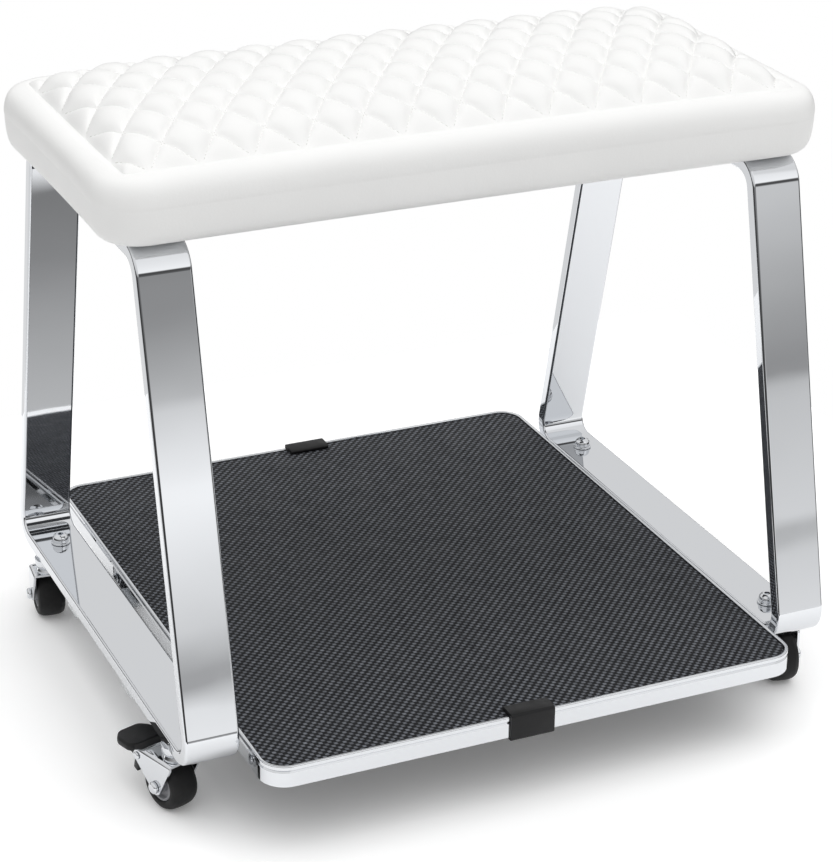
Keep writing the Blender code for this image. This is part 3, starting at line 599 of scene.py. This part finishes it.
def domed_bolt(low, high):
    """A flanged dome bolt that fills a bolt's box."""
    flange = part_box("left_side_frame")[0].z + BAR_THICK + GAP
    shoulder = flange + FLANGE_THICK
    dome = [(radius, shoulder + rise) for radius, rise in DOME]
    section = [
        (0.0, low.z), (SHANK_RADIUS, low.z), (SHANK_RADIUS, flange), (FLANGE_RADIUS, flange),
        (FLANGE_RADIUS, shoulder), *dome, (DOME_TOP_RADIUS, high.z),
    ]
    bm = spun(section, 24, round_off=0.0003)
    rim_edges = [edge for edge in bm.edges if edge.is_boundary]
    socket = bmesh.ops.create_circle(
        bm, cap_ends=False, segments=6, radius=SOCKET_RADIUS, matrix=Matrix.Translation((0, 0, high.z)),
    )
    sides = list({edge for vert in socket["verts"] for edge in vert.link_edges})
    split = bmesh.ops.subdivide_edges(bm, edges=sides, cuts=3)
    parts = split["geom_split"] + split["geom_inner"]
    hexagon = list({item for item in parts if isinstance(item, bmesh.types.BMEdge)})
    bmesh.ops.bridge_loops(bm, edges=rim_edges + hexagon)
    sunk = bmesh.ops.extrude_edge_only(bm, edges=hexagon)["geom"]
    floor_verts = [item for item in sunk if isinstance(item, bmesh.types.BMVert)]
    bmesh.ops.translate(bm, verts=floor_verts, vec=(0, 0, -SOCKET_DEPTH))
    bmesh.ops.contextual_create(bm, geom=[edge for edge in bm.edges if edge.is_boundary])
    return bm


for corner in CORNERS:
    node = f"{corner}_caster_bolt"
    low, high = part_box(node)
    middle = (low + high) / 2
    bolt = put_at(domed_bolt(low, high), Matrix.Translation((middle.x, middle.y, 0.0)))
    settle(f"{corner}_dome_bolt", bolt, chrome, "base", "chrome", node)

# %% [markdown]
# ## Forks and mounts
# Forks and mounts are stamped plate. Their solids already have the right shape, so each is a copy of its
# solid with its flat faces joined up again and its edges broken, which is what makes a pressing catch the
# light.

# %% Forks and mounts
EDGE_BREAK = 0.0004


def softened_copy(node):
    """A copy of a solid node with its edges broken."""
    bm = bmesh.new()
    bm.from_mesh(frame["nodes"][node].data)
    bmesh.ops.remove_doubles(bm, verts=bm.verts, dist=DOUBLES)
    bmesh.ops.dissolve_limit(bm, angle_limit=math.radians(2), verts=bm.verts[:], edges=bm.edges[:])
    soften(bm, EDGE_BREAK, segments=2, angle=40)
    return bm


for corner in CORNERS:
    fork = softened_copy(f"{corner}_fork")
    fork = settle(f"{corner}_stamped_fork", fork, chrome, f"{corner}_swivel", "chrome", f"{corner}_fork")
    even_shading(fork)
    mount = softened_copy(f"{corner}_caster_mount")
    mount = settle(f"{corner}_swivel_mount", mount, chrome, "base", "chrome", f"{corner}_caster_mount")
    even_shading(mount)

# %% [markdown]
# ## Brake pedals
# A pedal is one black moulding: a broad tread for the toe, and a lever between the fork's plates that
# ends in the shoe. The tread is a flat outline with its corners rounded, drawn up and well softened, and
# the lever is its side view drawn across. Coordinates are about the pin, with X outwards and Z up.

# %% Brake pedals
TREAD_LOW, TREAD_THICK = -0.0015, 0.0070
TREAD_CORNER, TREAD_EDGE = 0.0030, 0.0022
TREAD_FLANK = [(0.0342, 0.0100), (0.0262, 0.0170), (0.0112, 0.0170), (0.0062, 0.0115)]
LEVER_HALF, LEVER_EDGE = 0.0130, 0.0007
LEVER_SIDE = [
    (-0.0041, -0.0057), (-0.0007, -0.0087), (0.0021, -0.0124), (0.0039, -0.0158), (0.0047, -0.0184),
    (0.0097, -0.0159), (0.0075, -0.0050), (0.0200, -0.0010), (0.0200, 0.0048), (0.0009, 0.0049),
    (-0.0028, 0.0041), (-0.0047, 0.0017), (-0.0050, -0.0020),
]


def tread_shape():
    """The toe tread of a pedal about its pin."""
    outline = TREAD_FLANK + [(x, -y) for x, y in reversed(TREAD_FLANK)]
    bm = flat_face([(x, y, TREAD_LOW) for x, y in outline])
    round_corners(bm, bm.verts[:], TREAD_CORNER, segments=6)
    draw_out(bm, (0.0, 0.0, TREAD_THICK))
    soften(bm, TREAD_EDGE, segments=5, angle=40)
    return bm


def lever_shape():
    """The lever and shoe of a pedal about its pin."""
    bm = flat_face([(x, -LEVER_HALF, z) for x, z in LEVER_SIDE])
    draw_out(bm, (0.0, 2 * LEVER_HALF, 0.0))
    soften(bm, LEVER_EDGE, angle=40)
    return bm


for corner in CORNERS:
    places = caster_places(corner)
    if "pedal" in places:
        tread = put_at(tread_shape(), places["pedal"])
        settle(f"{corner}_pedal_tread", tread, black_plastic, f"{corner}_pedal", "black_plastic",
               f"{corner}_brake_pedal")
        lever = put_at(lever_shape(), places["pedal"])
        settle(f"{corner}_pedal_lever", lever, black_plastic, f"{corner}_pedal", "black_plastic")

# %% [markdown]
# ## The quilted cushion
# The seat is foam on a board under stitched leatherette: a crowned field of diamonds, a rolled border
# round it, and flat sides with a seam half way down. A fine grid gives the field, its edge is extruded
# ring by ring down the side, and the stitch lines run along the grid's diagonals, so each crease has
# edges of its own.

# %% Quilted cushion: the field
SEAT_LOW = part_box("seat_cushion")[0]
CUSHION_X, CUSHION_Y, CUSHION_CORNER = 0.314, 0.1505, 0.040
BORDER = 0.024
FIELD_X, FIELD_Y = CUSHION_X - BORDER, CUSHION_Y - BORDER
QUILT_ALONG, QUILT_ACROSS = 14, 4
STEPS = 7
EDGE_HEIGHT, END_DROP, CROWN, PUFF = 0.0565, 0.0025, 0.0190, 0.0072
CROWN_END_POWER, CROWN_SIDE_POWER = 14, 3
PUFF_POWER = 0.4
FADE, FADE_POWER = 0.6, 0.7
END_GROOVE = 0.0010


def diamond_place(x, y):
    """A point counted in half diamonds along the two stitch directions."""
    along, over = x / FIELD_X * QUILT_ALONG, y / FIELD_Y * QUILT_ACROSS
    return along + over, along - over


def stitched(x, y):
    """Whether a point lies on a stitch line."""
    return any(abs(place % 2.0 - 1.0) < 0.01 for place in diamond_place(x, y))


def end_drop(x, share=1.0):
    """How far the seat's edge sinks towards its two ends."""
    return END_DROP * share * min(1.0, abs(x) / FIELD_X) ** 3


def crown_height(x, y):
    """Height of the field without its puffs."""
    u, v = abs(x) / FIELD_X, abs(y) / FIELD_Y
    return EDGE_HEIGHT - end_drop(x) + CROWN * (1.0 - u ** CROWN_END_POWER) * (1.0 - v ** CROWN_SIDE_POWER)


def puff_height(x, y):
    """Height of a diamond's puff, which fades out close to the field's edge."""
    first, second = diamond_place(x, y)
    diamond = abs(math.cos(math.pi * first / 2) * math.cos(math.pi * second / 2))
    inside = min((1.0 - abs(x) / FIELD_X) * QUILT_ALONG, (1.0 - abs(y) / FIELD_Y) * QUILT_ACROSS)
    return PUFF * diamond ** PUFF_POWER * max(0.0, min(1.0, inside / FADE)) ** FADE_POWER


cushion = bmesh.new()
bmesh.ops.create_grid(
    cushion, x_segments=2 * QUILT_ALONG * STEPS, y_segments=2 * QUILT_ACROSS * STEPS, size=1.0,
)
bmesh.ops.scale(cushion, vec=(FIELD_X, FIELD_Y, 1.0), verts=cushion.verts)
bmesh.ops.connect_verts(cushion, verts=[vert for vert in cushion.verts if stitched(vert.co.x, vert.co.y)])
for vert in cushion.verts:
    vert.co.z = SEAT_LOW.z + crown_height(vert.co.x, vert.co.y) + puff_height(vert.co.x, vert.co.y)
    if abs(vert.co.x) > FIELD_X - NEAR:
        vert.co.z -= END_GROOVE
print("field of", len(cushion.faces), "faces")

# %% Quilted cushion: border, sides and underside
# Each ring is (inset from the outline, height above the underside) in millimetres
SIDE_RINGS = [
    (21.5, 57.0), (17.0, 57.2), (12.0, 56.4), (7.5, 54.2), (4.0, 50.2), (1.6, 44.6), (0.4, 38.6), (0.0, 33.8),
    (0.5, 32.4), (0.3, 30.6), (0.7, 22.0), (1.6, 14.0), (3.8, 6.5), (8.0, 2.0), (13.0, 0.3), (16.8, 0.0),
]
SEAM_SHARE = 0.55
CORNER_SPAN = 2.0
BOARD_CORNER = 0.010
# The sides draw in by this much in metres, from a height down through a run in millimetres
DRAW_IN, DRAW_TOP, DRAW_RUN = 0.002, 56.0, 24.0


def ring_place(x, y, half_x, half_y, radius):
    """Where a point of the field's edge lands on a rounded outline."""
    on_end = abs(abs(x) - FIELD_X) < NEAR
    cells = QUILT_ACROSS if on_end else QUILT_ALONG
    count = (y / FIELD_Y if on_end else x / FIELD_X) * cells
    straight = (half_y if on_end else half_x) - radius
    share = max(-1.0, min(1.0, count / (cells - CORNER_SPAN)))
    angle = math.pi / 4 * max(0.0, abs(count) - cells + CORNER_SPAN) / CORNER_SPAN
    run = straight * share + math.copysign(radius * math.sin(angle), count)
    out = (half_x if on_end else half_y) - radius + radius * math.cos(angle)
    return (math.copysign(out, x), run) if on_end else (run, math.copysign(out, y))


def extrude_ring(bm, edge_verts, places):
    """Extrude the open edge once, to a new place for each of its points. Returns the new edge."""
    edges = [edge for edge in bm.edges if edge.is_boundary]
    grown = bmesh.ops.extrude_edge_only(bm, edges=edges)["geom"]
    new_verts = [item for item in grown if isinstance(item, bmesh.types.BMVert)]
    found = {(round(vert.co.x, 6), round(vert.co.y, 6)): vert for vert in new_verts}
    after = [found[round(vert.co.x, 6), round(vert.co.y, 6)] for vert in edge_verts]
    for vert, place in zip(after, places):
        vert.co = place
    return after


edge_verts = [vert for vert in cushion.verts if vert.is_boundary]
start = [vert.co.copy() for vert in edge_verts]
seam_verts = list(edge_verts)
for inset, height in SIDE_RINGS:
    half_x, half_y = CUSHION_X - inset / 1000, CUSHION_Y - inset / 1000
    places = []
    for x, y, _ in start:
        ring_x, ring_y = ring_place(x, y, half_x, half_y, CUSHION_CORNER - inset / 1000)
        draw = DRAW_IN * min(1.0, max(0.0, (DRAW_TOP - height) / DRAW_RUN))
        drawn_x = ring_x * (1.0 - draw / half_x * (1.0 - (ring_y / half_y) ** 2))
        drawn_y = ring_y * (1.0 - draw / half_y * (1.0 - (ring_x / half_x) ** 2))
        sunk = end_drop(ring_x, max(0.0, height / 1000 / EDGE_HEIGHT - SEAM_SHARE) / (1.0 - SEAM_SHARE))
        places.append((drawn_x, drawn_y, SEAT_LOW.z + height / 1000 - sunk))
    edge_verts = extrude_ring(cushion, edge_verts, places)
board_low, board_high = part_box("seat_board")
for height in (board_low.z, board_high.z + GAP):
    places = []
    for x, y, _ in start:
        ring = ring_place(x, y, board_high.x + GAP, board_high.y + GAP, BOARD_CORNER)
        places.append((*ring, height))
    edge_verts = extrude_ring(cushion, edge_verts, places)
bmesh.ops.triangle_fill(
    cushion, use_beauty=True, edges=[edge for edge in cushion.edges if edge.is_boundary],
)
print("cushion of", len(cushion.faces), "faces before it is filled")

# %% [markdown]
# ### Filling the cushion
# Real quilting swells between its stitches. A cloth simulation with pressure inside and no gravity does
# the same: the stitch lines, the seams and the underside are held, the rest may swell, and no point may
# move further than a small cap, so the seat keeps its size.

# %% Filling the cushion
PRESSURE = 4.0
SWELL_CAP = 0.0025
FRAMES = 20
HELD_BELOW, CREASED_ABOVE = 0.036, 0.045
CREASE = 0.7

cushion.verts.index_update()
held = {vert.index for vert in cushion.verts if abs(vert.co.x) <= FIELD_X + NEAR
        and abs(vert.co.y) <= FIELD_Y + NEAR and stitched(vert.co.x, vert.co.y)}
held |= {vert.index for vert in seam_verts}
held |= {vert.index for vert in cushion.verts if vert.co.z < SEAT_LOW.z + HELD_BELOW}
creases = cushion.edges.layers.float.new("crease_edge")
for edge in cushion.edges:
    ends = [vert.co for vert in edge.verts]
    across = abs(ends[0].x - ends[1].x) > NEAR and abs(ends[0].y - ends[1].y) > NEAR
    if across and all(vert.index in held and vert.co.z > SEAT_LOW.z + CREASED_ABOVE for vert in edge.verts):
        edge[creases] = CREASE
seat = settle("quilted_cushion", cushion, leatherette, "base", "white_leatherette", "seat_cushion")


def swell(piece, held):
    """Fill a piece with cloth simulation, with its held points fixed, and keep the result."""
    rest = [vert.co.copy() for vert in piece.data.vertices]
    piece.vertex_groups.new(name="held").add(sorted(held), 1.0, "REPLACE")
    cloth = piece.modifiers.new("filling", "CLOTH")
    cloth.settings.vertex_group_mass = "held"
    cloth.settings.use_pressure = True
    cloth.settings.uniform_pressure_force = PRESSURE
    cloth.settings.effector_weights.gravity = 0.0
    cloth.collision_settings.use_collision = False
    for step in range(1, FRAMES + 1):
        bpy.context.scene.frame_set(step)
    filled = piece.evaluated_get(bpy.context.evaluated_depsgraph_get()).to_mesh()
    moves = [after.co - before for after, before in zip(filled.vertices, rest)]
    longest = max(move.length for move in moves)
    for vert, before, move in zip(piece.data.vertices, rest, moves):
        vert.co = before + move * min(1.0, SWELL_CAP / max(move.length, 0.000001))
    piece.modifiers.remove(cloth)
    piece.vertex_groups.clear()
    bpy.context.scene.frame_set(1)
    print("swelled by up to", round(1000 * longest, 2), "mm before the cap")


swell(seat, held)
smooth = seat.modifiers.new("soft skin", "SUBSURF")
smooth.levels = smooth.render_levels = 1

# %% [markdown]
# ## Quilting stitches
# Along every crease runs a row of lockstitches, 4 mm apart, sunk in the leatherette. Each is a small
# six-sided bead stretched along its line, because hundreds of them have to stay light.

# %% Quilting stitches
STITCH_PITCH = 0.0042
STITCH_LENGTH = 0.0030
STITCH_RADIUS = 0.00035
STITCH_MARGIN = 0.002
half_diamond = Vector((FIELD_X / QUILT_ALONG, FIELD_Y / QUILT_ACROSS))
line_angle = math.atan2(half_diamond.y, half_diamond.x)
field_run = FIELD_Y / math.sin(line_angle)
doublings = math.ceil(math.log2(2 * field_run / STITCH_PITCH))

row = bmesh.new()
bead = Matrix.Diagonal((STITCH_LENGTH / 2, STITCH_RADIUS, STITCH_RADIUS, 1.0))
bmesh.ops.create_uvsphere(row, u_segments=6, v_segments=4, radius=1.0, matrix=bead)
for doubling in range(doublings):
    again = bmesh.ops.duplicate(row, geom=row.verts[:] + row.edges[:] + row.faces[:])["geom"]
    copies = [item for item in again if isinstance(item, bmesh.types.BMVert)]
    bmesh.ops.translate(row, verts=copies, vec=(STITCH_PITCH * 2 ** doubling, 0.0, 0.0))
bmesh.ops.translate(row, verts=row.verts, vec=(-STITCH_PITCH * (2 ** doublings - 1) / 2, 0.0, 0.0))
row_mesh = bpy.data.meshes.new("stitch_row")
row.to_mesh(row_mesh)
row.free()

rows = bmesh.new()
farthest = QUILT_ALONG + QUILT_ACROSS - 1
for turn in (1, -1):
    for line in range(-farthest, farthest + 1, 2):
        laid = bmesh.new()
        laid.from_mesh(row_mesh)
        slant = Matrix.Rotation(turn * line_angle, 4, "Z")
        put_at(laid, Matrix.Translation((line * half_diamond.x, 0, 0)) @ slant)
        outside = [
            vert for vert in laid.verts
            if abs(vert.co.x) > FIELD_X - STITCH_MARGIN or abs(vert.co.y) > FIELD_Y - STITCH_MARGIN
        ]
        bmesh.ops.delete(laid, geom=outside, context="VERTS")
        bmesh.ops.holes_fill(laid, edges=laid.edges[:])
        laid_mesh = bpy.data.meshes.new("stitch_line")
        laid.to_mesh(laid_mesh)
        laid.free()
        rows.from_mesh(laid_mesh)
        bpy.data.meshes.remove(laid_mesh)
for vert in rows.verts:
    vert.co.z += SEAT_LOW.z + crown_height(vert.co.x, vert.co.y)
bpy.data.meshes.remove(row_mesh)
settle("quilting_stitches", rows, crease_shaded_thread, "base", "white_leatherette")

# %% [markdown]
# ## Hidden hardware
# Screws, straps, kingpins and boards have the right shapes in the solid model and stay as they are. They
# only get their finishes: zinc for the steel, the dark film for the boards.

# %% Hidden hardware
for name, node in frame["nodes"].items():
    if name.endswith(("screw", "strap", "kingpin")):
        node.material_slots[0].material = zinc
    if name in ("seat_board", "tray_panel"):
        node.material_slots[0].material = film_faced

# %% [markdown]
# ## Floor and light
# The photograph is a studio shot on white with a soft shadow. The floor is a small pale sheet that keeps
# the shadow and is lifted towards white at its edges, where it meets the white backdrop. One wide soft
# lamp from the front right shapes the diamonds and leaves the left end greyer than the front.

# %% Floor and light
FLOOR_HALF = 0.62
FLOOR_LIFT, EDGE_LIFT = 0.13, 0.20
LIFT_FROM, LIFT_TO = 0.30, 0.60
LAMP_ENERGY, LAMP_SPREAD = 0.45, math.radians(60)
LAMP_LEAN, LAMP_TURN = math.radians(32), math.radians(25)

floor_finish, tree, shader, spot = start_finish("matt_white_floor", "#FBFBFB", 0.9)
shader.inputs["Specular IOR Level"].default_value = 0.0
vary(tree, spot, shader.inputs["Roughness"], 400.0, 0.85, 0.95)
glance = put(tree, "ShaderNodeLightPath")
direct = put(tree, "ShaderNodeMath", {0: glance.outputs["Is Camera Ray"], 1: glance.outputs["Is Glossy Ray"]},
             operation="MAXIMUM")
watched = put(tree, "ShaderNodeMath", {0: direct.outputs[0], 1: glance.outputs["Is Transmission Ray"]},
              operation="MAXIMUM")
away = put(tree, "ShaderNodeVectorMath", {0: spot}, operation="LENGTH")
lift = put(tree, "ShaderNodeMapRange", {
    "Value": away.outputs["Value"], "From Min": LIFT_FROM, "From Max": LIFT_TO, "To Min": FLOOR_LIFT,
    "To Max": EDGE_LIFT,
}, interpolation_type="SMOOTHSTEP")
glow = put(tree, "ShaderNodeMath", {0: watched.outputs[0], 1: lift.outputs["Result"]}, operation="MULTIPLY")
shader.inputs["Emission Color"].default_value = linear("#FFFFFF")
tree.links.new(glow.outputs[0], shader.inputs["Emission Strength"])
floor_mesh = bpy.data.meshes.new("studio_floor")
sheet = bmesh.new()
bmesh.ops.create_grid(sheet, x_segments=1, y_segments=1, size=FLOOR_HALF)
sheet.to_mesh(floor_mesh)
sheet.free()
floor_mesh.materials.append(floor_finish)
floor = bpy.data.objects.new("studio_floor", floor_mesh)
bpy.context.scene.collection.objects.link(floor)

lamp = bpy.data.lights.new("soft_lamp", "SUN")
lamp.energy = LAMP_ENERGY
lamp.angle = LAMP_SPREAD
lamp_object = bpy.data.objects.new("soft_lamp", lamp)
lamp_object.rotation_euler = (LAMP_LEAN, 0.0, LAMP_TURN)
lamp_object.visible_glossy = False
bpy.context.scene.collection.objects.link(lamp_object)
print("lamp of", lamp.energy, "watts a square metre")

# %% [markdown]
# ### What the chrome sees
# Chrome has no colour of its own, so it only looks right with the right room round it. A photographer
# stands white and grey cards beside the camera and keeps the rest dark: the cards give the legs their
# bands, and the dark draws the thin black line along every rounded edge. Here that room is painted on the
# world, and only reflected rays see it: one card serves the left legs and one the right, each a few soft
# steps of grey. The object itself is lit by a dome that is brightest overhead, which gives the top its
# white and the sides their grey.

# %% What the chrome sees
# Each stop is (height of the direction, grey level): the height is 0 at the horizon and 1 overhead
DOME_STOPS = [(-0.25, 0.93), (-0.005, 0.93), (0.0, 0.06), (0.5, 0.48), (1.0, 1.85)]
LEFT_CARD = [
    (-0.25, 0.70), (-0.194, 0.51), (-0.157, 0.33), (-0.120, 0.26), (-0.116, 1.15),
    (-0.095, 1.05), (-0.092, 0.50), (-0.083, 0.50), (-0.070, 0.87), (-0.018, 1.28),
    (0.014, 0.87), (0.0175, 0.68), (0.050, 0.37), (0.066, 0.36), (0.085, 0.16), (0.20, 0.08),
    (0.27, 0.12), (0.33, 1.25), (1.0, 1.0),
]
RIGHT_CARD = [
    (-0.25, 1.00), (-0.10, 0.97), (-0.079, 0.86), (-0.076, 0.66), (-0.069, 0.62), (-0.0665, 0.90),
    (-0.0165, 0.74), (-0.0105, 0.38), (-0.004, 0.39), (0.056, 0.76), (0.07, 0.80), (0.10, 0.50),
    (0.16, 0.08), (0.27, 0.12), (0.33, 1.25), (1.0, 1.0),
]
DARK_ROOM = [
    (-0.25, 0.90), (-0.22, 0.05), (-0.02, 0.06), (0.06, 0.22), (0.16, 0.55), (0.33, 0.85), (1.0, 0.95),
]
LOWEST = -0.25
# Bearings in degrees over which the cards begin, change from the left one to the right one, and end
CARDS_BEGIN, CARDS_MEET, CARDS_END = (4, 9), (19, 27), (40, 48)

world = bpy.data.worlds.new("studio_dome")
bpy.context.scene.world = world
world.use_nodes = True
tree = world.node_tree
way = put(tree, "ShaderNodeSeparateXYZ", {"Vector": put(tree, "ShaderNodeTexCoord").outputs["Generated"]})
ray = put(tree, "ShaderNodeLightPath")
rise = put(tree, "ShaderNodeMapRange", {"Value": way.outputs["Z"], "From Min": LOWEST})


def ramp_of(stops):
    """Grey levels by the height of a direction."""
    brightest = max(level for _, level in stops)
    ramp = put(tree, "ShaderNodeValToRGB", {"Fac": rise.outputs["Result"]})
    while len(ramp.color_ramp.elements) < len(stops):
        ramp.color_ramp.elements.new(0.5)
    for element, (position, level) in zip(ramp.color_ramp.elements, stops):
        element.position = (position - LOWEST) / (1.0 - LOWEST)
        element.color = (level / brightest, level / brightest, level / brightest, 1.0)
    scaled = put(tree, "ShaderNodeMath", {0: ramp.outputs["Color"], 1: brightest}, operation="MULTIPLY")
    return scaled.outputs[0]


forwards = put(tree, "ShaderNodeMath", {0: way.outputs["Y"], 1: -1.0}, operation="MULTIPLY")
bearing = put(tree, "ShaderNodeMath", {0: way.outputs["X"], 1: forwards.outputs[0]}, operation="ARCTAN2")


def passed(first, last):
    """0 before a bearing in degrees, 1 after another: bearings are 0 to the front and grow to the right."""
    return put(tree, "ShaderNodeMapRange", {
        "Value": bearing.outputs[0], "From Min": math.radians(first), "From Max": math.radians(last),
    }, interpolation_type="SMOOTHSTEP").outputs["Result"]


def mixed(share, first, second):
    """A blend of two grey levels."""
    return put(tree, "ShaderNodeMix", {"Factor": share, "A": first, "B": second}).outputs["Result"]


cards = mixed(passed(*CARDS_MEET), ramp_of(LEFT_CARD), ramp_of(RIGHT_CARD))
dark_room = ramp_of(DARK_ROOM)
begun = mixed(passed(*CARDS_BEGIN), dark_room, cards)
room = mixed(passed(*CARDS_END), begun, dark_room)
lit = mixed(ray.outputs["Is Glossy Ray"], ramp_of(DOME_STOPS), room)
seen = put(tree, "ShaderNodeMath", {0: ray.outputs["Is Camera Ray"], 1: ray.outputs["Is Transmission Ray"]},
           operation="MAXIMUM")
backdrop = tree.nodes["Background"]
tree.links.new(mixed(seen.outputs[0], lit, 1.0), backdrop.inputs["Color"])
backdrop.inputs["Strength"].default_value = 1.0
bpy.context.scene.view_settings.view_transform = "Standard"
print("room of", len(tree.nodes), "nodes")
